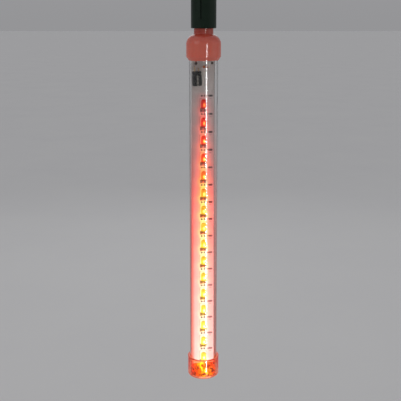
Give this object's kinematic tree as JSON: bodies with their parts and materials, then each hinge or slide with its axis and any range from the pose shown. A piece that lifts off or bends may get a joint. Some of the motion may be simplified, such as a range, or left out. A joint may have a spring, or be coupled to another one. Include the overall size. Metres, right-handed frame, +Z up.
{
  "type": "falling-light tube lamp",
  "caption": "Clear hanging tube lamp with a column of red diodes on a white board, a coral cap and a screw base, in a green cord lampholder.",
  "frame": {"origin": "on the lamp's axis, at the top edge of the lampholder's barrel", "axes": "+Z up along the lamp's axis towards the cord head; the front of the circuit board faces -Y; the cord channel runs along X"},
  "size_m": [0.0306, 0.0306, 0.3657],
  "materials": {
    "holder_green": "satin",
    "contact_brass": "stamped, slightly tarnished",
    "seal_rubber": "matte",
    "cap_coral": "gloss, slightly translucent",
    "base_plate": "bright plated",
    "base_black": "gloss",
    "solder": "bright",
    "glue": "cloudy",
    "clear_tube": "clear, polished",
    "board_white": "satin solder mask",
    "led_red": "clear red, lit",
    "resistor_black": "matte",
    "sleeve_black": "shrunk sleeve with a grey stripe",
    "bung_rubber": "matte",
    "diode_glass": "gloss, with a black band",
    "film_brown": "gloss dipped",
    "fuse_blue": "gloss with colour bands",
    "wire_red": "satin",
    "wire_white": "satin"
  },
  "bodies": {
    "holder": {"holder_body": "holder_green", "holder_screw_shell": "contact_brass", "centre_contact_leaf": "contact_brass", "centre_piercing_pin": "contact_brass", "shell_piercing_pin": "contact_brass"},
    "cover": {"cord_cover": "holder_green"},
    "seal": {"neck_seal": "seal_rubber"},
    "lamp": {"lamp_cap": "cap_coral", "base_shell": "base_plate", "base_insulator": "base_black", "tip_contact": "solder", "tube_glue_ring": "glue", "board_glue": "glue", "tube": "clear_tube", "end_cap": "clear_tube", "circuit_board": "board_white", "front_leds": "led_red", "front_led_leads": "solder", "rear_leds": "led_red", "rear_led_leads": "solder", "front_solder": "solder", "rear_solder": "solder", "led_resistors": "resistor_black", "resistor_ends": "solder", "capacitor_can": "sleeve_black", "capacitor_bung": "bung_rubber", "capacitor_leads": "solder", "glass_diode": "diode_glass", "diode_leads": "solder", "film_capacitor": "film_brown", "film_capacitor_leads": "solder", "bridge_rectifier": "resistor_black", "rectifier_leads": "solder", "controller_chip": "resistor_black", "chip_leads": "solder", "fuse_resistor": "fuse_blue", "fuse_leads": "solder", "live_wire": "wire_red", "neutral_wire": "wire_white", "wire_solder": "solder"}
  },
  "joints": [
    {"name": "seal_slide", "type": "slide", "parent": "holder", "child": "seal", "axis": [0, 0, -1], "range_m": [0, 0.0113]},
    {"name": "lamp_spin", "type": "hinge", "parent": "seal", "child": "lamp", "pos_m": [0, 0, 0], "axis": [0, 0, -1], "range_deg": [0, 1440]},
    {"name": "cover_slide", "type": "slide", "parent": "holder", "child": "cover", "axis": [1, 0, 0], "range_m": [0, 0.0165]}
  ],
  "couplings": [
    {"joint": "seal_slide", "follows": "lamp_spin", "m_per_rad": 0.00044914}
  ]
}
